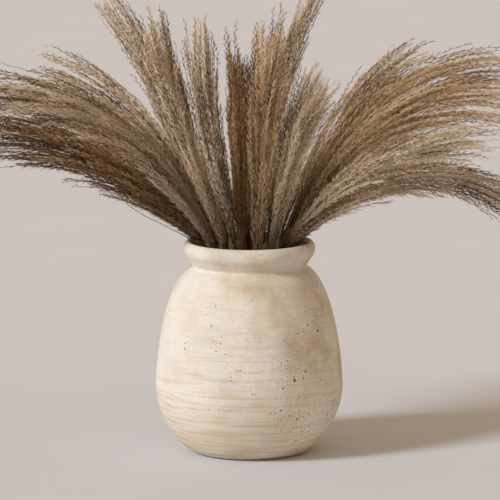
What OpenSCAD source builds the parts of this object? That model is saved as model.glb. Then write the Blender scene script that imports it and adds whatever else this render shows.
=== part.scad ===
// A thrown clay flower vase that holds a bunch of dried silver grass.
// +Z is up, +X is to the right, and the origin is the centre of the resting face.
// The vase is one fired piece. Each stem stands loose in it: a straight stalk from the
// floor to just below the lip, and a plume that arches out from there. The stems stand
// in two rings, and each one keeps to its own slice of its ring, so that it lifts out
// along its stalk without passing through a neighbour.

/* [Vase] */
// Height from the resting face to the top of the lip
vase_h = 231; // [190:1:280]
// Radius of the flat resting face
foot_r = 58; // [45:1:75]
// Outer radius of the belly where it is widest
belly_r = 102; // [85:1:125]
// Height of the widest part of the belly
belly_z = 72; // [60:1:90]
// Outer radius of the neck where it is narrowest
neck_r = 62; // [51:1:75]
// Height from the narrowest part of the neck to the top of the lip
lip_h = 27; // [22:1:33]
// How far the lip stands out past the neck
lip_flare = 10; // [8:1:13]
// Thickness of the lip, from its outside to its inside
lip_t = 9.5; // [8:0.5:11.5]
// Thickness of the wall
wall = 8; // [6.5:0.5:10]
// Thickness of the floor
floor_t = 10; // [8:0.5:12.5]

/* [Stalks] */
// Diameter of a stalk
stalk_d = 3.5; // [2.5:0.1:4.5]
// Depth below the top of the lip at which a stalk ends and its plume begins
stalk_drop = 18; // [14:1:20]
// Space between an outer stalk and the inside of the neck
neck_gap = 6; // [4:0.5:8]
// Radius of the ring on the floor where the outer stalks stand
outer_foot_ring = 18; // [16:0.5:21]
// Radius of the ring where the inner stalks stand
inner_foot_ring = 9; // [8:0.5:11]
// Radius of the ring of inner stalks at their tops
inner_top_ring = 13; // [11:0.5:16]
// Space left under each stalk
seat_gap = 0.2; // [0.1:0.1:0.4]

/* [Plumes] */
// Radius of an outer plume of fullness 1 where it is fullest
plume_r = 21; // [17:0.5:25]
// Radius of an inner plume of fullness 1 where it is fullest
inner_plume_r = 13; // [10:0.5:16]
// Radius of a plume at its root
plume_root_r = 3; // [2.5:0.1:4]
// Radius of a plume at its tip
plume_tip_r = 10; // [8:0.5:12]
// Length over which a plume bends to its lean at the rim
bend_len = 36; // [30:1:44]
// Space between neighbouring plumes
plume_gap = 0.6; // [0.4:0.1:1]

/* [Hidden] */
// Outer and inner stems, in order round their ring. Each has its lean from vertical just
// past the rim, its lean at the tip, and its plume's length and fullness. The first outer
// one points along +X, and the first inner one stands at inner_first_turn.
OUTER = [
    [21, 108, 345, 1.3],
    [23, 96, 360, 1.25],
    [26, 70, 296, 0.95],
    [18, 40, 205, 0.9],
    [17, 30, 245, 0.8],
    [9, 15, 205, 0.5],
    [44, 24, 290, 0.5],
    [22, 43, 318, 0.75],
    [19, 75, 292, 1.1],
    [28, 97, 355, 1.3],
    [43, 91, 345, 1.4],
    [31, 86, 368, 1.2],
    [37, 25, 305, 0.6],
    [8, 14, 265, 0.5],
    [11, 26, 268, 0.9],
    [16, 52, 235, 0.9],
    [46, 82, 320, 1.2],
    [41, 130, 325, 1],
];
INNER = [
    [1, 27, 295, 1],
    [6, 12, 205, 0.9],
    [20, 1, 250, 0.9],
    [2, 5, 215, 0.6],
    [6, 16, 268, 1],
];
inner_first_turn = 18;
// How soon a plume's lean grows along it: 1 is evenly, and more is nearer the tip
droop = 1.3;
// Where along its length a plume is fullest
fullest_at = 0.58;
plume_sides = 12;
plume_rings = 18;
curve_steps = 10;
round_fn = 96;
// How far along each curve its handles reach, as shares of the curve's own run
shoulder_low = 0.14;
shoulder_out = 0.82;
shoulder_drop = 0.15;
belly_low = 0.42;
foot_out = 0.45;
foot_lift = 3.5;
neck_turn = 6;

stalk_r = stalk_d / 2;
outer_n = len(OUTER);
inner_n = len(INNER);
stem_n = outer_n + inner_n;
neck_z = vase_h - lip_h;
neck_in = neck_r - wall;
belly_in = belly_r - wall;
lip_r = neck_r + lip_flare;
lip_in = lip_r - lip_t;
outer_top_ring = neck_in - neck_gap - stalk_r;

function two(i) = str(i < 10 ? "0" : "", i);

// Points along a cubic curve from its first point up to, but not at, its last
function cubic(a, b, c, d) = [
    for (k = [0:curve_steps - 1])
        let (t = k / curve_steps, u = 1 - t)
            u * u * u * a + 3 * u * u * t * b + 3 * u * t * t * c + t * t * t * d
];

// The clay's outline on one side of the axis, from the foot up the outside, over the
// lip and down the inside to the floor
function clay_outline() =
    let (
        rise = neck_z - belly_z,
        foot = [foot_r, 0],
        belly = [belly_r, belly_z],
        shoulder = [neck_r + 2, neck_z - 1.5],
        flare = [neck_r + 3, neck_z + neck_turn - 1],
        edge = [lip_r, vase_h - 8],
        crest = [lip_r - lip_t / 2 - 0.7, vase_h],
        lip_inside = [lip_in, vase_h - 5],
        throat = [neck_in, neck_z + 1],
        shoulder_in = [neck_in + 2.5, neck_z - neck_turn],
        belly_inside = [belly_in, belly_z],
        corner = [foot_r - wall / 2, floor_t]
    )
    concat(
        [[0, 0]],
        cubic(foot, foot + [(belly_r - foot_r) * foot_out, foot_lift],
              belly - [0, belly_z * belly_low], belly),
        cubic(belly, belly + [0, rise * shoulder_low],
              [neck_r + (belly_r - neck_r) * shoulder_out, neck_z - rise * shoulder_drop], shoulder),
        cubic(shoulder, [neck_r - 0.6, neck_z], [neck_r + 0.3, neck_z + 1.5], flare),
        cubic(flare, flare + [3.6, 6], edge - [0, 6], edge),
        cubic(edge, edge + [0, 4.4], crest + [2.6, 0], crest),
        cubic(crest, crest - [2.4, 0], lip_inside + [0, 2.8], lip_inside),
        cubic(lip_inside, lip_inside - [0, 9], throat + [0, 8], throat),
        cubic(throat, throat - [0, 3], shoulder_in + [-1.8, 1.5], shoulder_in),
        cubic(shoulder_in,
              [neck_in + (belly_in - neck_in) * shoulder_out, neck_z - rise * shoulder_drop - neck_turn],
              belly_inside + [0, rise * shoulder_low], belly_inside),
        cubic(belly_inside, belly_inside - [0, belly_z * belly_low],
              corner + [(belly_in - corner[0]) * foot_out, 2], corner),
        [corner, [0, floor_t]]
    );

module vase_body() {
    color([0.80, 0.71, 0.59])
        rotate_extrude($fn = round_fn)
            polygon(clay_outline());
}

function is_outer(i) = i <= outer_n;
function leans(i) = is_outer(i) ? OUTER[i - 1] : INNER[i - outer_n - 1];
function turn(i) = is_outer(i) ? (i - 1) * 360 / outer_n
                               : inner_first_turn + (i - outer_n - 1) * 360 / inner_n;

// A stalk's line in its own upright slice, as [distance from the axis, height]
function top_ring(i) = is_outer(i) ? outer_top_ring : inner_top_ring;
function foot_ring(i) = is_outer(i) ? outer_foot_ring : inner_foot_ring;
function stalk_top(i) = [top_ring(i), vase_h - stalk_drop];
function rough_tilt(i) = atan2(top_ring(i) - foot_ring(i), vase_h - stalk_drop - floor_t);
function stalk_foot(i) = [foot_ring(i), floor_t + seat_gap + stalk_r * sin(rough_tilt(i))];
function stalk_run(i) = stalk_top(i) - stalk_foot(i);
function tilt(i) = atan2(stalk_run(i)[0], stalk_run(i)[1]);

module stalk(i) {
    foot = stalk_foot(i);
    color([0.66, 0.53, 0.33])
        rotate([0, 0, turn(i)])
            translate([foot[0], 0, foot[1]])
                rotate([0, tilt(i), 0])
                    cylinder(h = norm(stalk_run(i)), r = stalk_r, $fn = 24);
}

// A plume's lean from vertical at a distance s along it
function ease(x) = x * x * (3 - 2 * x);
function lean(i, s) =
    let (rim = leans(i)[0], tip = leans(i)[1], length = leans(i)[2])
        tilt(i) + (rim - tilt(i)) * ease(min(1, s / bend_len)) + (tip - rim) * pow(s / length, droop);

// Its middle line in its slice, one point for each ring
function plume_line(i) =
    let (step = leans(i)[2] / plume_rings)
        [for (k = 0, p = stalk_top(i); k <= plume_rings;
              p = p + step * [sin(lean(i, (k + 0.5) * step)), cos(lean(i, (k + 0.5) * step))], k = k + 1) p];

// Its radius: full part way along, and less where its slice of the ring is narrower
function soft_min(a, b) = pow(pow(a, -4) + pow(b, -4), -0.25);
function slice_r(i, reach) = reach * sin(180 / (is_outer(i) ? outer_n : inner_n)) - plume_gap / 2;
function full_r(i) = leans(i)[3] * (is_outer(i) ? plume_r : inner_plume_r);
function free_r(i, u) = u < fullest_at
    ? plume_root_r + (full_r(i) - plume_root_r) * ease(u / fullest_at)
    : full_r(i) - (full_r(i) - plume_tip_r) * ease((u - fullest_at) / (1 - fullest_at));
function plume_radius(i, reach, u) = soft_min(slice_r(i, reach), free_r(i, u));

module plume(i) {
    middle = plume_line(i);
    step = leans(i)[2] / plume_rings;
    points = [
        for (k = [0:plume_rings], j = [0:plume_sides - 1])
            let (
                r = plume_radius(i, middle[k][0], k / plume_rings),
                a = lean(i, k * step),
                across = r * cos(j * 360 / plume_sides)
            )
                [middle[k][0] + across * cos(a), r * sin(j * 360 / plume_sides), middle[k][1] - across * sin(a)]
    ];
    sides = [
        for (k = [0:plume_rings - 1], j = [0:plume_sides - 1], half = [0, 1])
            let (
                a = k * plume_sides + j,
                b = k * plume_sides + (j + 1) % plume_sides,
                c = b + plume_sides,
                d = a + plume_sides
            )
                half == 0 ? [a, c, b] : [a, d, c]
    ];
    root = [for (j = [0:plume_sides - 1]) j];
    tip = [for (j = [plume_sides - 1:-1:0]) plume_rings * plume_sides + j];
    color(is_outer(i) ? [0.58, 0.44, 0.28] : [0.50, 0.37, 0.23])
        rotate([0, 0, turn(i)])
            polyhedron(points = points, faces = concat(sides, [root, tip]), convexity = 6);
}

vase_body();
for (i = [1:stem_n]) {
    stalk(i);
    plume(i);
}
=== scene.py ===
import math

import bpy
import numpy as np
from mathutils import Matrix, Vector, noise


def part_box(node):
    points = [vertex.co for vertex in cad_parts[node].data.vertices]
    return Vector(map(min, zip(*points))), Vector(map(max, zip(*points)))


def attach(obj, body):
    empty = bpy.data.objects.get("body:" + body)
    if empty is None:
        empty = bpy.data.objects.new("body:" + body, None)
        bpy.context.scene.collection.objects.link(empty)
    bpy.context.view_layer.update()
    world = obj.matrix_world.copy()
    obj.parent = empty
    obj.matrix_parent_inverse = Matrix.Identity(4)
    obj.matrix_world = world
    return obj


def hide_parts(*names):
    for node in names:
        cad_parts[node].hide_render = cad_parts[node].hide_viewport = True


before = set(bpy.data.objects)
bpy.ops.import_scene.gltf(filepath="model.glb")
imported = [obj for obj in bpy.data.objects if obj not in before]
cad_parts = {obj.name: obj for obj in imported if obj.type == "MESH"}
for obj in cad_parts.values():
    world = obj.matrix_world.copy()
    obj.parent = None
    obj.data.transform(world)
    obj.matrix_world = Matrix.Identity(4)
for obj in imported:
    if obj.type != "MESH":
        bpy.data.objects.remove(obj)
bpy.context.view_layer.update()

MM = 0.001

# The vase, as in the CAD. Its height and belly come from the frame.
vase_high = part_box("vase_body")[1]
HEIGHT = vase_high.z
BELLY_R = vase_high.x
BELLY_Z = 72 * MM
FOOT_R = 58 * MM
NECK_R = 62 * MM
NECK_Z = HEIGHT - 27 * MM
LIP_R = NECK_R + 10 * MM
LIP_T = 9.5 * MM
WALL = 8 * MM
FLOOR_T = 10 * MM
# How far along each curve of the clay its handles reach, as shares of the curve's own run
SHOULDER_LOW = 0.14
SHOULDER_OUT = 0.82
SHOULDER_DROP = 0.15
BELLY_LOW = 0.42
FOOT_OUT = 0.45
FOOT_LIFT = 3.5 * MM
NECK_TURN = 6 * MM
# Steps round the axis as the outline is spun
AROUND = 240

# The stems, as in the CAD: lean from vertical just past the rim, lean at the tip,
# and the plume's length in millimetres and fullness.
OUTER = [
    (21, 108, 345, 1.3),
    (23, 96, 360, 1.25),
    (26, 70, 296, 0.95),
    (18, 40, 205, 0.9),
    (17, 30, 245, 0.8),
    (9, 15, 205, 0.5),
    (44, 24, 290, 0.5),
    (22, 43, 318, 0.75),
    (19, 75, 292, 1.1),
    (28, 97, 355, 1.3),
    (43, 91, 345, 1.4),
    (31, 86, 368, 1.2),
    (37, 25, 305, 0.6),
    (8, 14, 265, 0.5),
    (11, 26, 268, 0.9),
    (16, 52, 235, 0.9),
    (46, 82, 320, 1.2),
    (41, 130, 325, 1),
]
INNER = [
    (1, 27, 295, 1),
    (6, 12, 205, 0.9),
    (20, 1, 250, 0.9),
    (2, 5, 215, 0.6),
    (6, 16, 268, 1),
]
INNER_FIRST_TURN = 18
STALK_TOP_Z = HEIGHT - 18 * MM
# The radius of each ring of stalk tops, outer and inner, and how far the stalks tilt in degrees
TOP_RING = (46.25 * MM, 13 * MM)
STALK_TILT = (7.94, 1.13)
# The length over which a plume bends to its lean at the rim, and how late the rest of it bends
BEND_LEN = 36 * MM
DROOP = 1.3

# A plume of fullness 1: its half width and its number of sprigs, for the outer and inner ring,
# and its width at the root as a share of that half width
HALF_WIDTH = (22.5 * MM, 14 * MM)
SPRIGS_LAID = (105, 84)
ROOT_WIDTH = (0.26, 0.5)
# Where a plume is fullest, and where and how much it narrows again to its tip
FULLEST_AT = 0.72
NARROWS_FROM = 0.8
NARROWS_BY = 0.35

# How single stems differ, by their number: the tone of their grass where it isn't pale, more
# or fewer sprigs, sprigs that spread wider or narrower, and how much the sprigs crowd to the
# root where the plume thins out towards its top
# The dark tone of stems 6, 14, 20 and 22, in the middle of the bunch, is partly their own dark brown and
# partly painted shade of the bunch's depths.
TONE_OF = {
    1: "gold", 2: "gold", 3: "gold", 15: "gold",
    6: "dark", 10: "dark", 11: "dark", 14: "dark", 20: "dark", 22: "dark",
}
THICKNESS = {
    1: 1.35, 2: 1.5, 6: 0.6, 10: 1.6, 11: 1.9, 12: 1.3, 14: 0.5, 16: 0.85, 17: 1.2, 21: 1.25, 22: 0.7,
}
LOOSENESS = {19: 0.9, 21: 1.4}
BARE_TOP = {6: 2, 14: 2.4, 16: 1.3, 22: 1.6}
EVEN_TOP = 1.1
# A broken strand that hangs beside a stem, as points along it in millimetres
LOOSE_STRAND = {11: ((-54, -19, 230), (-80, -27, 243), (-111, -38, 259), (-130, -44, 273), (-131, -45, 287))}

# A sprig as it is modelled, before it is laid: its length, and the space between its spikelets
SPRIG_LEN = 120 * MM
SPIKELET_GAP = 5.2 * MM
BARE_GAP = 5.6 * MM
HAIRS = 4
# A sprig as it is laid: the share of the plume that sprigs start on, the range of its length,
# how far it waves and bends, and how much it sags
STARTS_OVER = 0.74
SPRIG_REACH = (75 * MM, 150 * MM)
WAVE = 1.3 * MM
BEND = 8 * MM
SAG = 0.3
# The share of sprigs that stray, below STRAY_FROM of the plume's length and above it, how far
# out they stand, and the share of them that have gone dark and how dark
STRAY_FROM = 0.85
STRAY_LOW, STRAY_HIGH = 0.18, 0.55
STRAY_OUT = 1.2
GONE_DARK = 0.7
DARK_PALE = 0.35
# The step at which a plume's path is worked out
PATH_STEP = 2 * MM


def active(name):
    """The object just made, renamed."""
    made = bpy.context.active_object
    made.name = made.data.name = name
    return made


def deselect():
    """Nothing selected, as every new piece starts."""
    bpy.ops.object.select_all(action="DESELECT")


# ---------------------------------------------------------------- clay vase


def cubic(a, b, c, d, steps):
    """Points along a cubic curve, without its last."""
    ends = [Vector(p) for p in (a, b, c, d)]
    points = []
    for k in range(steps):
        t = k / steps
        u = 1 - t
        points.append(u**3 * ends[0] + 3 * u * u * t * ends[1] + 3 * u * t * t * ends[2] + t**3 * ends[3])
    return points


def clay_outline():
    """The clay's outline on one side of the axis, from under the foot to the inside floor."""
    rise = NECK_Z - BELLY_Z
    neck_in, belly_in, lip_in = NECK_R - WALL, BELLY_R - WALL, LIP_R - LIP_T
    foot = Vector((FOOT_R, 0))
    belly = Vector((BELLY_R, BELLY_Z))
    shoulder = Vector((NECK_R + 2 * MM, NECK_Z - 1.5 * MM))
    flare = Vector((NECK_R + 3 * MM, NECK_Z + NECK_TURN - 1 * MM))
    edge = Vector((LIP_R, HEIGHT - 8 * MM))
    crest = Vector((LIP_R - LIP_T / 2 - 0.7 * MM, HEIGHT))
    lip_inside = Vector((lip_in, HEIGHT - 5 * MM))
    throat = Vector((neck_in, NECK_Z + 1 * MM))
    shoulder_in = Vector((neck_in + 2.5 * MM, NECK_Z - NECK_TURN))
    belly_inside = Vector((belly_in, BELLY_Z))
    corner = Vector((FOOT_R - WALL / 2, FLOOR_T))
    above_belly = Vector((0, rise * SHOULDER_LOW))
    below_belly = Vector((0, BELLY_Z * BELLY_LOW))
    shoulder_z = NECK_Z - rise * SHOULDER_DROP
    stretches = [
        ((0, 0), (20 * MM, 0), (40 * MM, 0), foot, 8),
        (foot, foot + Vector(((BELLY_R - FOOT_R) * FOOT_OUT, FOOT_LIFT)), belly - below_belly, belly, 36),
        (belly, belly + above_belly,
         (NECK_R + (BELLY_R - NECK_R) * SHOULDER_OUT, shoulder_z), shoulder, 54),
        (shoulder, (NECK_R - 0.6 * MM, NECK_Z), (NECK_R + 0.3 * MM, NECK_Z + 1.5 * MM), flare, 8),
        (flare, flare + Vector((3.6 * MM, 6 * MM)), edge - Vector((0, 6 * MM)), edge, 10),
        (edge, edge + Vector((0, 4.4 * MM)), crest + Vector((2.6 * MM, 0)), crest, 8),
        (crest, crest - Vector((2.4 * MM, 0)), lip_inside + Vector((0, 2.8 * MM)), lip_inside, 8),
        (lip_inside, lip_inside - Vector((0, 9 * MM)), throat + Vector((0, 8 * MM)), throat, 10),
        (throat, throat - Vector((0, 3 * MM)),
         shoulder_in + Vector((-1.8 * MM, 1.5 * MM)), shoulder_in, 5),
        (shoulder_in, (neck_in + (belly_in - neck_in) * SHOULDER_OUT, shoulder_z - NECK_TURN),
         belly_inside + above_belly, belly_inside, 16),
        (belly_inside, belly_inside - below_belly,
         corner + Vector(((belly_in - corner.x) * FOOT_OUT, 2 * MM)), corner, 12),
    ]
    points = [point for stretch in stretches for point in cubic(*stretch)]
    return points + [corner, Vector((30 * MM, FLOOR_T)), Vector((0, FLOOR_T))]


def throwing_marks(point):
    """How far the potter's hands left the wall out or in at a point, in metres."""
    turn = math.atan2(point.y, point.x)
    low = max(0.0, 1 - point.z / (100 * MM))
    round_about = Vector((math.cos(turn), math.sin(turn), 0)) * 0.6
    rings = noise.noise(round_about * 0.8 + Vector((0, 0, point.z * 260)))
    swells = noise.noise(round_about + Vector((5, 3, point.z * 34)))
    return (0.10 + 0.16 * low) * MM * rings + 0.28 * MM * swells


def make_vase():
    """One outline spun round the axis, with the marks of throwing left on its outside."""
    outline = clay_outline()
    deselect()
    bpy.ops.mesh.primitive_plane_add(size=10 * MM, location=(0, 0, 0))
    vase = active("clay_vase")
    bpy.ops.object.mode_set(mode="EDIT")
    bpy.ops.mesh.select_all(action="SELECT")
    bpy.ops.mesh.merge(type="CENTER")
    bpy.ops.transform.translate(value=(outline[0].x, 0, outline[0].y))
    at = outline[0]
    for point in outline[1:]:
        step = point - at
        bpy.ops.mesh.extrude_region_move(TRANSFORM_OT_translate={"value": (step.x, 0, step.y)})
        at = point
    bpy.ops.mesh.select_all(action="SELECT")
    bpy.ops.mesh.spin(steps=AROUND, angle=math.tau, center=(0, 0, 0), axis=(0, 0, 1))
    bpy.ops.mesh.select_all(action="SELECT")
    bpy.ops.mesh.remove_doubles(threshold=1e-6)
    bpy.ops.mesh.normals_make_consistent(inside=False)
    bpy.ops.object.mode_set(mode="OBJECT")
    for vertex in vase.data.vertices:
        reach = math.hypot(vertex.co.x, vertex.co.y)
        if vertex.co.z > 2 * MM and reach > 40 * MM:
            vertex.co += Vector((vertex.co.x, vertex.co.y, 0)) / reach * throwing_marks(vertex.co)
    bpy.ops.object.shade_smooth()
    return vase


# ---------------------------------------------------------------- materials


class Nodes:
    """A material's node tree, with short calls for the nodes used here."""

    def __init__(self, name):
        self.material = bpy.data.materials.new(name)
        self.material.use_nodes = True
        self.tree = self.material.node_tree
        self.shader = self.tree.nodes["Principled BSDF"]

    def add(self, kind, **settings):
        node = self.tree.nodes.new(kind)
        for key, value in settings.items():
            if key in node.inputs:
                node.inputs[key].default_value = value
            else:
                setattr(node, key, value)
        return node

    def join(self, source, target):
        self.tree.links.new(source, target)

    def mapped(self, source, scale, move=(0, 0, 0)):
        node = self.add("ShaderNodeMapping")
        node.inputs["Scale"].default_value = scale
        node.inputs["Location"].default_value = move
        self.join(source, node.inputs["Vector"])
        return node.outputs["Vector"]

    def noise(self, vector, scale, detail=3.0, rough=0.5):
        node = self.add("ShaderNodeTexNoise", Scale=scale, Detail=detail, Roughness=rough)
        self.join(vector, node.inputs["Vector"])
        return node.outputs["Fac"]

    def spread(self, value, low, high, to_low=0.0, to_high=1.0):
        node = self.add("ShaderNodeMapRange")
        self.join(value, node.inputs["Value"])
        node.inputs["From Min"].default_value = low
        node.inputs["From Max"].default_value = high
        node.inputs["To Min"].default_value = to_low
        node.inputs["To Max"].default_value = to_high
        return node.outputs["Result"]

    def sums(self, operation, a, b):
        node = self.add("ShaderNodeMath", operation=operation)
        for k, value in enumerate((a, b)):
            if isinstance(value, (int, float)):
                node.inputs[k].default_value = value
            else:
                self.join(value, node.inputs[k])
        return node.outputs["Value"]

    def blend(self, amount, a, b):
        node = self.add("ShaderNodeMix", data_type="RGBA", blend_type="MIX")
        self.join(amount, node.inputs[0])
        for k, value in ((6, a), (7, b)):
            if isinstance(value, tuple):
                node.inputs[k].default_value = (*value, 1)
            else:
                self.join(value, node.inputs[k])
        return node.outputs[2]

    def ramp(self, value, *stops):
        node = self.add("ShaderNodeValToRGB")
        while len(node.color_ramp.elements) < len(stops):
            node.color_ramp.elements.new(0.5)
        for element, (place, colour) in zip(node.color_ramp.elements, stops):
            element.position = place
            element.color = (*colour, 1)
        self.join(value, node.inputs["Fac"])
        return node.outputs["Color"]


# The clay's colours: its patches from bare to pale, and what lies over them
BARE_CLAY, CREAM_CLAY, PALE_CLAY = (0.56, 0.435, 0.30), (0.715, 0.635, 0.52), (0.80, 0.755, 0.68)
CHALK_WASH = (0.69, 0.675, 0.65)
CLAY_DUST = (0.60, 0.485, 0.35)
# Painted light: the paler, less yellow cream laid over the left side, where the key light falls
PAINTED_LIT_SIDE = (0.775, 0.72, 0.635)
TAN_STREAK = (0.53, 0.385, 0.235)
PALE_STREAK = (0.80, 0.75, 0.68)
WARM_FOOT = (0.80, 0.70, 0.52)
FOOT_STAIN = (0.58, 0.40, 0.21)
PIT_HALO = (0.86, 0.82, 0.75)
PIT_DARK = (0.10, 0.055, 0.025)
# Three sizes of pit: cells to the metre, a pit's size in its cell, and the share of cells without one
PITS = ((80, 0.115, 0.78), (150, 0.12, 0.74), (300, 0.17, 0.60))


def clay_pits(n, place, x, z):
    """Pits burnt out of the clay and the pale halos round them, crowded on the right below the shoulder."""
    shaken = n.add("ShaderNodeVectorMath", operation="MULTIPLY_ADD")
    wobble = n.add("ShaderNodeTexNoise", Scale=520, Detail=1.0)
    n.join(place, wobble.inputs["Vector"])
    n.join(wobble.outputs["Color"], shaken.inputs[0])
    shaken.inputs[1].default_value = (3.4 * MM, 3.4 * MM, 2.4 * MM)
    n.join(place, shaken.inputs[2])
    crowd = n.noise(n.mapped(place, (1, 1, 1), (0.4, 0.1, 0)), 19, 4.0, 0.62)
    side = n.spread(x, -0.08, 0.04, -0.09, 0.03)
    upper = n.spread(z, 0.13, 0.20, 0, -0.10)
    crowd = n.spread(n.sums("ADD", n.sums("ADD", crowd, side), upper), 0.475, 0.56)
    pits, halos = None, None
    for scale, size, share in PITS:
        cells = n.add("ShaderNodeTexVoronoi", Scale=scale)
        n.join(shaken.outputs["Vector"], cells.inputs["Vector"])
        chance = n.add("ShaderNodeSeparateColor")
        n.join(cells.outputs["Color"], chance.inputs["Color"])
        picked = n.sums("MULTIPLY", n.sums("GREATER_THAN", chance.outputs["Red"], share), crowd)
        away = cells.outputs["Distance"]
        dot = n.sums("MULTIPLY", n.spread(away, size, size * 1.9, 1, 0), picked)
        halo = n.sums("MULTIPLY", n.spread(away, size * 2, size * 4, 1, 0), picked)
        pits = dot if pits is None else n.sums("MAXIMUM", pits, dot)
        halos = halo if halos is None else n.sums("MAXIMUM", halos, halo)
    return pits, halos


def clay_relief(n, place, low, pits):
    """Fine grain, throwing ridges that are stronger near the foot, and sunken pits."""
    grain = n.noise(place, 900, 3.0, 0.6)
    rings = n.noise(n.mapped(place, (5, 5, 300)), 1.0, 2.0, 0.5)
    ridges = n.sums("MULTIPLY", rings, n.sums("ADD", low, 0.35))
    relief = n.sums("ADD", n.sums("MULTIPLY", grain, 0.22), ridges)
    relief = n.sums("SUBTRACT", relief, pits)
    bump = n.add("ShaderNodeBump", Strength=0.55, Distance=0.7 * MM)
    n.join(relief, bump.inputs["Height"])
    n.join(bump.outputs["Normal"], n.shader.inputs["Normal"])


def clay_material():
    """Unglazed cream clay with a chalky wash, throwing streaks, stains near the foot, burnt-out pits, and
    painted light on its left side.
    """
    n = Nodes("cream_clay")
    place = n.add("ShaderNodeTexCoord").outputs["Object"]
    parts = n.add("ShaderNodeSeparateXYZ")
    n.join(place, parts.inputs[0])
    x, z = parts.outputs["X"], parts.outputs["Z"]

    streaks = n.noise(n.mapped(place, (15, 15, 290)), 1.0, 4.0, 0.6)
    fine_streaks = n.noise(n.mapped(place, (34, 34, 760)), 1.0, 2.0, 0.5)
    patches = n.noise(n.mapped(place, (1, 1, 0.8)), 17, 4.0, 0.6)
    wash = n.noise(n.mapped(place, (1, 1, 0.55), (3, 1, 2)), 21, 2.0, 0.5)
    dust = n.noise(place, 260, 3.0, 0.6)
    low = n.spread(z, 0.09, 0.01)

    colour = n.ramp(patches, (0.36, BARE_CLAY), (0.48, CREAM_CLAY), (0.60, PALE_CLAY))
    colour = n.blend(n.spread(wash, 0.50, 0.64, 0, 0.65), colour, CHALK_WASH)
    colour = n.blend(n.spread(dust, 0.40, 0.66, 0, 0.38), colour, CLAY_DUST)
    # Painted light: towards the left, where the key light falls, the clay is blended to a paler, even, less
    # yellow cream.
    colour = n.blend(n.spread(x, 0.0, -0.085, 0, 0.6), colour, PAINTED_LIT_SIDE)
    lower_body = n.spread(z, 0.16, 0.07, 0.35, 1)
    streaked = n.sums("MULTIPLY", n.spread(streaks, 0.50, 0.70, 0, 0.62), lower_body)
    colour = n.blend(streaked, colour, TAN_STREAK)
    colour = n.blend(n.spread(fine_streaks, 0.52, 0.72, 0, 0.3), colour, PALE_STREAK)
    stained = n.sums("MULTIPLY", low, n.spread(streaks, 0.44, 0.66))
    colour = n.blend(n.sums("MULTIPLY", low, 0.4), colour, WARM_FOOT)
    colour = n.blend(n.sums("MULTIPLY", stained, 0.5), colour, FOOT_STAIN)
    pits, halos = clay_pits(n, place, x, z)
    colour = n.blend(n.sums("MULTIPLY", halos, 0.55), colour, PIT_HALO)
    colour = n.blend(n.sums("MULTIPLY", pits, 0.92), colour, PIT_DARK)
    n.join(colour, n.shader.inputs["Base Color"])

    n.shader.inputs["Specular IOR Level"].default_value = 0.2
    n.join(n.spread(patches, 0.3, 0.7, 0.95, 0.84), n.shader.inputs["Roughness"])
    clay_relief(n, place, low, pits)
    return n.material


def floor_material():
    """A plain matt floor with a faint cloudiness."""
    n = Nodes("pale_floor")
    place = n.add("ShaderNodeTexCoord").outputs["Object"]
    clouds = n.noise(place, 6, 3.0, 0.5)
    colour = n.ramp(clouds, (0.3, (0.645, 0.652, 0.690)), (0.7, (0.66, 0.667, 0.705)))
    n.join(colour, n.shader.inputs["Base Color"])
    n.shader.inputs["Roughness"].default_value = 0.9
    return n.material


def stalk_material():
    """Dry straw with a grain that runs up the stalk."""
    n = Nodes("dry_stalk")
    place = n.add("ShaderNodeTexCoord").outputs["Object"]
    fibres = n.noise(n.mapped(place, (900, 900, 30)), 1.0, 3.0, 0.5)
    colour = n.ramp(fibres, (0.3, (0.36, 0.24, 0.11)), (0.7, (0.62, 0.48, 0.27)))
    n.join(colour, n.shader.inputs["Base Color"])
    n.shader.inputs["Roughness"].default_value = 0.5
    return n.material


# In a plume's UV map, u is how far along the plume a point lies. The v says which kind of
# strand it is on, from the start of that kind's band, and how pale the strand is. Stalks and
# seeds lie below HAIR_FROM, and stalks alone below SEED_FROM.
STALK, SEED, HAIR = 0, 1, 2
BAND_START = np.array([0.02, 0.14, 0.50])
BAND_WIDTH = np.array([0.08, 0.32, 0.46])
SEED_FROM, HAIR_FROM = 0.12, 0.48
DARK_STALK = (0.040, 0.020, 0.010)
# Near the root: the bases' own brown, darkened further as painted shade of the bunch's depths
ROOT_BROWN_AND_PAINTED_SHADE = (0.080, 0.031, 0.009)


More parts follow.
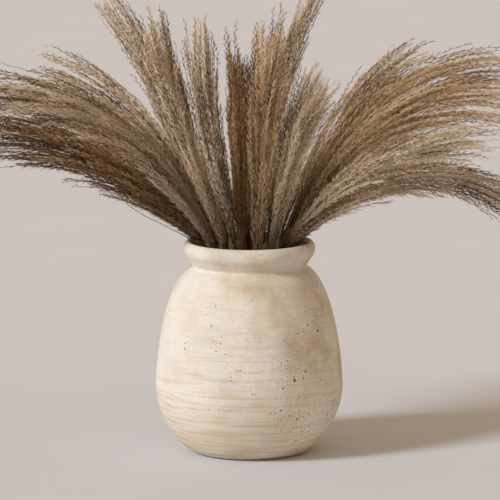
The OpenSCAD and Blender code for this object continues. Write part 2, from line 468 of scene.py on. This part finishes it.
def grass_material(name, seeds, hairs):
    """Dried grass: brown seeds and tan to straw hairs, each strand its own tone, darker towards the root
    from the bases' own browner colour and from painted shade of the bunch's depths.
    """
    n = Nodes(name)
    uv = n.add("ShaderNodeUVMap", uv_map="OFBake").outputs["UV"]
    parts = n.add("ShaderNodeSeparateXYZ")
    n.join(uv, parts.inputs[0])
    along, v = parts.outputs["X"], parts.outputs["Y"]
    bands = [n.spread(v, BAND_START[k], BAND_START[k] + BAND_WIDTH[k]) for k in (SEED, HAIR, STALK)]
    flecks = n.noise(n.mapped(uv, (9, 60, 1)), 1.0, 2.0, 0.6)
    seed_colour = n.ramp(bands[0], (0.0, seeds[0]), (0.55, seeds[1]), (1.0, seeds[2]))
    hair_colour = n.ramp(bands[1], (0.0, hairs[0]), (0.5, hairs[1]), (1.0, hairs[2]))
    colour = n.blend(n.sums("GREATER_THAN", v, HAIR_FROM), seed_colour, hair_colour)
    colour = n.blend(n.spread(flecks, 0.5, 0.75, 0, 0.35), colour, seeds[1])
    stalk_colour = n.ramp(bands[2], (0.0, DARK_STALK), (1.0, seeds[1]))
    colour = n.blend(n.sums("LESS_THAN", v, SEED_FROM), colour, stalk_colour)
    # Painted shade of the bunch's depths near the vase's mouth, laid over the bases' own browner colour:
    # strands darken towards the root.
    colour = n.blend(n.spread(along, 0.36, 0.05, 0, 0.86), colour, ROOT_BROWN_AND_PAINTED_SHADE)
    n.join(colour, n.shader.inputs["Base Color"])
    n.shader.inputs["Roughness"].default_value = 0.6
    n.shader.inputs["Specular IOR Level"].default_value = 0.25
    return n.material


# ---------------------------------------------------------------- grass sprigs


class Shape:
    """Points and triangles, with each point's kind of strand, its paleness and its side of the strand."""

    def __init__(self, points, faces, kind, pale, across):
        self.points, self.faces, self.kind, self.pale, self.across = points, faces, kind, pale, across


def taken(obj, kind):
    """A modelled object's mesh as a Shape. The object is removed."""
    mesh = obj.data
    points = np.empty(len(mesh.vertices) * 3)
    mesh.vertices.foreach_get("co", points)
    points = points.reshape(-1, 3)
    faces = np.array([tuple(p.vertices) for p in mesh.polygons])
    turn = np.arctan2(points[:, 1], points[:, 0])
    reach = np.hypot(points[:, 0], points[:, 1])
    across = np.cos(turn) * np.minimum(1, reach / (reach.max() + 1e-9))
    bpy.data.objects.remove(obj)
    return Shape(points, faces, np.full(len(points), kind), np.full(len(points), 0.5), across)


def triangulated():
    """Turns every face of the object in edit mode into triangles that face outwards."""
    bpy.ops.mesh.select_all(action="SELECT")
    bpy.ops.mesh.quads_convert_to_tris()
    bpy.ops.mesh.normals_make_consistent(inside=False)
    bpy.ops.object.mode_set(mode="OBJECT")


def pick(obj, test):
    """Selects the faces that pass a test of their centre and normal, in edit mode."""
    bpy.ops.mesh.select_all(action="DESELECT")
    bpy.ops.object.mode_set(mode="OBJECT")
    for face in obj.data.polygons:
        face.select = test(face.center, face.normal)
    bpy.ops.object.mode_set(mode="EDIT")


def model_seed():
    """A slim spikelet along +Z from the origin, pointed at both ends."""
    length, radius = 8.5 * MM, 0.52 * MM
    deselect()
    bpy.ops.mesh.primitive_cone_add(vertices=3, radius1=radius, radius2=0, depth=length * 0.68,
                                    location=(0, 0, length * 0.66))
    seed = active("seed")
    bpy.ops.object.transform_apply()
    bpy.ops.object.mode_set(mode="EDIT")
    pick(seed, lambda centre, normal: normal.z < -0.9)
    bpy.ops.mesh.poke(offset=length * 0.32)
    triangulated()
    return taken(seed, SEED)


def model_hair():
    """A silky hair along +Z from the origin."""
    length, radius = 11.5 * MM, 0.38 * MM
    deselect()
    bpy.ops.mesh.primitive_cone_add(vertices=3, radius1=radius, radius2=0, depth=length,
                                    location=(0, 0, length / 2))
    hair = active("hair")
    bpy.ops.object.transform_apply()
    bpy.ops.object.mode_set(mode="EDIT")
    triangulated()
    return taken(hair, HAIR)


def model_spine(length, thick, thin, cuts, sides=3):
    """A tapering stem along +Z from the origin, cut across along its length so that it can bend."""
    deselect()
    bpy.ops.mesh.primitive_cone_add(vertices=sides, radius1=thick, radius2=thin, depth=length,
                                    location=(0, 0, length / 2))
    spine = active("spine")
    bpy.ops.object.transform_apply()
    bpy.ops.object.mode_set(mode="EDIT")
    bpy.ops.mesh.select_mode(type="EDGE")
    bpy.ops.mesh.select_all(action="DESELECT")
    bpy.ops.object.mode_set(mode="OBJECT")
    for edge in spine.data.edges:
        a, b = (spine.data.vertices[k].co for k in edge.vertices)
        edge.select = abs(a.z - b.z) > length / 2
    bpy.ops.object.mode_set(mode="EDIT")
    bpy.ops.mesh.subdivide(number_cuts=cuts)
    bpy.ops.mesh.select_mode(type="VERT")
    triangulated()
    return taken(spine, STALK)


def gathered(shapes):
    """Several shapes as one."""
    starts = np.cumsum([0] + [len(s.points) for s in shapes[:-1]])
    faces = np.concatenate([s.faces + k for s, k in zip(shapes, starts)])
    points, kind, pale, across = (np.concatenate(column) for column in
                                  zip(*[(s.points, s.kind, s.pale, s.across) for s in shapes]))
    return Shape(points, faces, kind, pale, across)


def set_on(shape, z, lean, turn, size, pale):
    """A copy of a shape, leaning out from the spine at height z."""
    lean, turn = math.radians(lean), math.radians(turn)
    out = np.array([math.cos(turn), math.sin(turn), 0])
    side = np.array([-math.sin(turn), math.cos(turn), 0])
    ahead = math.sin(lean) * out + math.cos(lean) * np.array([0, 0, 1])
    axes = np.array([np.cross(side, ahead), side, ahead])
    points = shape.points @ axes * size + [0, 0, z]
    return Shape(points, shape.faces, shape.kind, np.full(len(points), pale), shape.across)


def model_sprig(seed, spine, grain, hair, hairs, gap):
    """A branch of a plume: a spine with spikelets all along it, and hairs at the foot of each."""
    chance = np.random.default_rng(seed)
    shapes = [spine]
    z, turn = 4 * MM, 0.0
    last = SPRIG_LEN * 0.985
    while z < last:
        size = 1.1 - 0.25 * z / SPRIG_LEN
        shapes.append(set_on(grain, z, chance.uniform(13, 32), turn, size, chance.random()))
        for _ in range(hairs):
            up = z + chance.uniform(0, 4 * MM)
            lean, round_by = chance.uniform(6, 36), chance.uniform(-130, 130)
            hair_size = size * chance.uniform(0.55, 1.15)
            shapes.append(set_on(hair, up, lean, turn + round_by, hair_size, chance.random()))
        z += gap * chance.uniform(0.85, 1.2)
        turn += 180 + chance.uniform(-50, 50)
    return gathered(shapes)


# ---------------------------------------------------------------- plumes


def ease(x):
    """A smooth rise from 0 to 1."""
    x = np.clip(x, 0, 1)
    return x * x * (3 - 2 * x)


def stem_layout(i):
    """Stem i's ring (0 outer, 1 inner), its turn about the axis, and its leans and length."""
    if i < len(OUTER):
        return 0, i * math.tau / len(OUTER), OUTER[i]
    k = i - len(OUTER)
    return 1, math.radians(INNER_FIRST_TURN) + k * math.tau / len(INNER), INNER[k]


def plume_path(i):
    """The plume's middle line and its two cross directions, sampled from its root past its tip."""
    ring, turn, (rim, tip, length, _) = stem_layout(i)
    length *= MM
    places = np.arange(0, length * 1.25, PATH_STEP)
    tilt = STALK_TILT[ring]

    def lean(s):
        return np.radians(tilt + (rim - tilt) * ease(s / BEND_LEN) + (tip - rim) * (s / length) ** DROOP)

    middle = lean(places + PATH_STEP / 2)
    reach = TOP_RING[ring] + np.concatenate([[0], np.cumsum(PATH_STEP * np.sin(middle))[:-1]])
    height = STALK_TOP_Z + np.concatenate([[0], np.cumsum(PATH_STEP * np.cos(middle))[:-1]])
    out = np.array([math.cos(turn), math.sin(turn), 0])
    up = np.array([0, 0, 1])
    centre = reach[:, None] * out + height[:, None] * up
    angle = lean(places)
    face = np.cos(angle)[:, None] * out - np.sin(angle)[:, None] * up
    side = np.tile(np.array([-math.sin(turn), math.cos(turn), 0]), (len(places), 1))
    return length, centre, face, side, np.sin(angle)


def sampled(table, s):
    """Rows of a table along the path, read at distances s."""
    place = np.clip(s / PATH_STEP, 0, len(table) - 1.001)
    low = place.astype(int)
    part = place - low
    if table.ndim == 2:
        part = part[..., None]
    return table[low] * (1 - part) + table[low + 1] * part


def plume_width(u, root):
    """A plume's half width at a share u of its length, for a half width of 1."""
    filled = root + (1 - root) * ease(u / FULLEST_AT)
    return filled * (1 - NARROWS_BY * ease((u - NARROWS_FROM) / 0.3))


def lay_sprigs(i, sprigs, bare):
    """Many sprigs laid along stem i's plume, each on its own line out from the middle.

    The sprigs sag where the plume lies level. The strays are bare and stand out past the rest,
    and most of them have gone dark.
    """
    ring, _, (_, _, _, fullness) = stem_layout(i)
    half_width = fullness * HALF_WIDTH[ring] * LOOSENESS.get(i + 1, 1)
    count = round(SPRIGS_LAID[ring] * THICKNESS.get(i + 1, 1))
    length, centre, face, side, level = plume_path(i)
    root = ROOT_WIDTH[ring]
    chance = np.random.default_rng(100 + i)
    laid = []
    for k in range(count):
        start = length * STARTS_OVER * chance.random() ** BARE_TOP.get(i + 1, EVEN_TOP)
        own = chance.uniform(*SPRIG_REACH)
        own = min(own, length * chance.uniform(0.96, 1.07) - start)
        end = (start + own) / length
        stray = chance.random() < (STRAY_LOW if end < STRAY_FROM else STRAY_HIGH)
        sprig = bare if stray else sprigs[k % len(sprigs)]
        turn = chance.uniform(0, math.tau)
        share = STRAY_OUT if stray else math.sqrt(chance.uniform(0.02, 1))
        spread = half_width * plume_width(end, root) * share
        begin = min(spread, half_width * plume_width(start / length, root) * chance.uniform(0.2, 0.8))
        waves = chance.uniform(-1, 1, 2) * WAVE
        phase = chance.uniform(0, math.tau, 2)
        bend = chance.uniform(-1, 1) * BEND
        sag = chance.uniform(0.3, 1.9) * SAG * own * own
        tone = chance.random()

        t = sprig.points[:, 2] / SPRIG_LEN
        s = start + own * t
        out = begin + (spread - begin) * t**1.15
        curl = bend * t * t
        a = out * math.cos(turn) - curl * math.sin(turn) + waves[0] * t * np.sin(9 * t + phase[0])
        b = out * math.sin(turn) + curl * math.cos(turn) + waves[1] * t * np.sin(8 * t + phase[1])
        a += sprig.points[:, 0]
        b += sprig.points[:, 1]
        at = sampled(centre, s) + a[:, None] * sampled(face, s) + b[:, None] * sampled(side, s)
        at[:, 2] -= sag * t * t * sampled(level, s)
        pale = 0.55 * sprig.pale + 0.45 * tone
        kind = sprig.kind
        if stray and tone < GONE_DARK:
            kind, pale = np.full(len(kind), STALK), DARK_PALE * pale
        laid.append((Shape(at, sprig.faces, kind, pale, sprig.across), s))
    return gathered([shape for shape, _ in laid]), np.concatenate([s for _, s in laid])


def bent_spine(i, spine, share):
    """The plume's own stem, bent along its middle line up to a share of its length."""
    length, centre, face, side, _ = plume_path(i)
    s = spine.points[:, 2] * length * share
    across, aside = spine.points[:, :1], spine.points[:, 1:2]
    at = sampled(centre, s) + across * sampled(face, s) + aside * sampled(side, s)
    return Shape(at, spine.faces, spine.kind, spine.pale, spine.across), s


def as_object(name, shape, along, material):
    """An object from a Shape, with its UV map."""
    mesh = bpy.data.meshes.new(name)
    mesh.vertices.add(len(shape.points))
    mesh.vertices.foreach_set("co", shape.points.ravel())
    mesh.loops.add(shape.faces.size)
    mesh.loops.foreach_set("vertex_index", shape.faces.ravel())
    mesh.polygons.add(len(shape.faces))
    mesh.polygons.foreach_set("loop_start", np.arange(0, shape.faces.size, 3))
    mesh.polygons.foreach_set("use_smooth", np.ones(len(shape.faces), dtype=bool))
    mesh.update(calc_edges=True)
    pale = np.clip(shape.pale, 0, 1)
    v = BAND_START[shape.kind] + BAND_WIDTH[shape.kind] * pale + shape.across * 0.002
    flat = np.stack([np.clip(along, 0, 1), v], axis=1)
    mesh.uv_layers.new(name="OFBake").data.foreach_set("uv", flat[shape.faces.ravel()].ravel())
    mesh.materials.append(material)
    made = bpy.data.objects.new(name, mesh)
    bpy.context.scene.collection.objects.link(made)
    return made


def hung_strand(strand, points):
    """A thin stem bent through some points."""
    t = strand.points[:, 2] / SPRIG_LEN
    marks = np.linspace(0, 1, len(points))
    at = np.stack([np.interp(t, marks, axis) for axis in np.array(points).T * MM], axis=1)
    at[:, 0] += strand.points[:, 0]
    at[:, 2] += strand.points[:, 1] + 4 * MM * np.sin(math.pi * t)
    return Shape(at, strand.faces, strand.kind, strand.pale, strand.across)


def make_plume(i, sprigs, bare, spine, strand, material):
    """Stem i's plume: its own stem, its sprigs, and a hanging strand where it has one."""
    length = plume_path(i)[0]
    stem, stem_along = bent_spine(i, spine, 0.7)
    branches, branch_along = lay_sprigs(i, sprigs, bare)
    shapes, places = [stem, branches], [stem_along, branch_along]
    if i + 1 in LOOSE_STRAND:
        shapes.append(hung_strand(strand, LOOSE_STRAND[i + 1]))
        places.append(np.full(len(strand.points), length * 0.5))
    along = np.concatenate(places) / (length * 1.15)
    plume = as_object(f"silver_grass_{i + 1:02d}", gathered(shapes), along, material)
    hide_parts(f"plume_{i + 1:02d}")
    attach(plume, f"stem_{i + 1:02d}")


# ---------------------------------------------------------------- the model

vase = make_vase()
vase.data.materials.append(clay_material())
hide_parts("vase_body")
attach(vase, "vase")

stalks = stalk_material()
for name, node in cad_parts.items():
    if name.startswith("stalk_"):
        node.data.materials.clear()
        node.data.materials.append(stalks)

# Each tone's seeds and hairs, from their darkest to their palest
tones = {
    "dark": grass_material("grass_dark", ((0.08, 0.034, 0.011), (0.26, 0.135, 0.052), (0.48, 0.28, 0.125)),
                           ((0.15, 0.072, 0.024), (0.46, 0.27, 0.115), (0.82, 0.57, 0.32))),
    "gold": grass_material("grass_gold", ((0.30, 0.160, 0.062), (0.90, 0.590, 0.325), (0.99, 0.80, 0.54)),
                           ((0.58, 0.360, 0.165), (0.98, 0.76, 0.47), (0.99, 0.92, 0.71))),
    "pale": grass_material("grass_pale", ((0.22, 0.125, 0.055), (0.67, 0.460, 0.270), (0.94, 0.77, 0.54)),
                           ((0.52, 0.350, 0.185), (0.97, 0.79, 0.56), (0.99, 0.93, 0.80))),
}

grain, hair = model_seed(), model_hair()
sprig_spine = model_spine(SPRIG_LEN, 0.42 * MM, 0.14 * MM, 9)
loose_strand = model_spine(SPRIG_LEN, 0.5 * MM, 0.3 * MM, 24)
plume_spine = model_spine(1.0, 1.5 * MM, 0.5 * MM, 39, sides=6)
sprigs = [model_sprig(seed, sprig_spine, grain, hair, HAIRS, SPIKELET_GAP) for seed in (1, 2, 3)]
bare_sprig = model_sprig(4, sprig_spine, grain, hair, 0, BARE_GAP)
for i in range(len(OUTER) + len(INNER)):
    tone = tones[TONE_OF.get(i + 1, "pale")]
    make_plume(i, sprigs, bare_sprig, plume_spine, loose_strand, tone)

# ---------------------------------------------------------------- floor, light and camera


def make_floor():
    """A wide plain floor, which is no part of the object."""
    deselect()
    bpy.ops.mesh.primitive_plane_add(size=60, location=(0, 0, 0))
    floor = active("floor")
    floor.data.materials.append(floor_material())


def soft_sun(azimuth, elevation, softness, power, colour):
    """A distant soft light. Azimuth 0 is in front, and negative is to the left."""
    a, e = math.radians(azimuth), math.radians(elevation)
    back = Vector((math.sin(a) * math.cos(e), -math.cos(a) * math.cos(e), math.sin(e)))
    data = bpy.data.lights.new("key", "SUN")
    data.energy, data.color, data.angle = power, colour, math.radians(softness)
    light = bpy.data.objects.new("key", data)
    light.rotation_euler = back.to_track_quat("Z", "Y").to_euler()
    bpy.context.scene.collection.objects.link(light)


def make_camera():
    """A long lens, level with the bunch and looking slightly down."""
    distance, elevation = 5.0, math.radians(9.0)
    width_seen = 0.543
    target = Vector((0.001, 0, 0.2206))
    back = Vector((0, -math.cos(elevation), math.sin(elevation)))
    data = bpy.data.cameras.new("camera")
    data.sensor_width = 36
    data.lens = data.sensor_width * distance / width_seen
    data.clip_end = 100
    camera = bpy.data.objects.new("camera", data)
    camera.location = target + back * distance
    camera.rotation_euler = back.to_track_quat("Z", "Y").to_euler()
    bpy.context.scene.collection.objects.link(camera)
    bpy.context.scene.camera = camera


def soft_room(colour, strength, seen):
    """Even light from all round. Beyond the floor's edge the room is seen in its own colour."""
    world = bpy.data.worlds.new("room")
    world.use_nodes = True
    nodes, links = world.node_tree.nodes, world.node_tree.links
    light = nodes["Background"]
    light.inputs["Color"].default_value = (*colour, 1)
    light.inputs["Strength"].default_value = strength
    wall = nodes.new("ShaderNodeBackground")
    wall.inputs["Color"].default_value = (*seen, 1)
    chosen = nodes.new("ShaderNodeMixShader")
    links.new(nodes.new("ShaderNodeLightPath").outputs["Is Camera Ray"], chosen.inputs[0])
    links.new(light.outputs[0], chosen.inputs[1])
    links.new(wall.outputs[0], chosen.inputs[2])
    links.new(chosen.outputs[0], nodes["World Output"].inputs["Surface"])
    bpy.context.scene.world = world


make_floor()
soft_sun(azimuth=-58, elevation=31, softness=14, power=2.5, colour=(0.90, 0.96, 1.04))
soft_room(colour=(1.0, 0.78, 0.56), strength=0.54, seen=(0.60, 0.54, 0.505))
make_camera()
bpy.context.scene.view_settings.view_transform = "Standard"
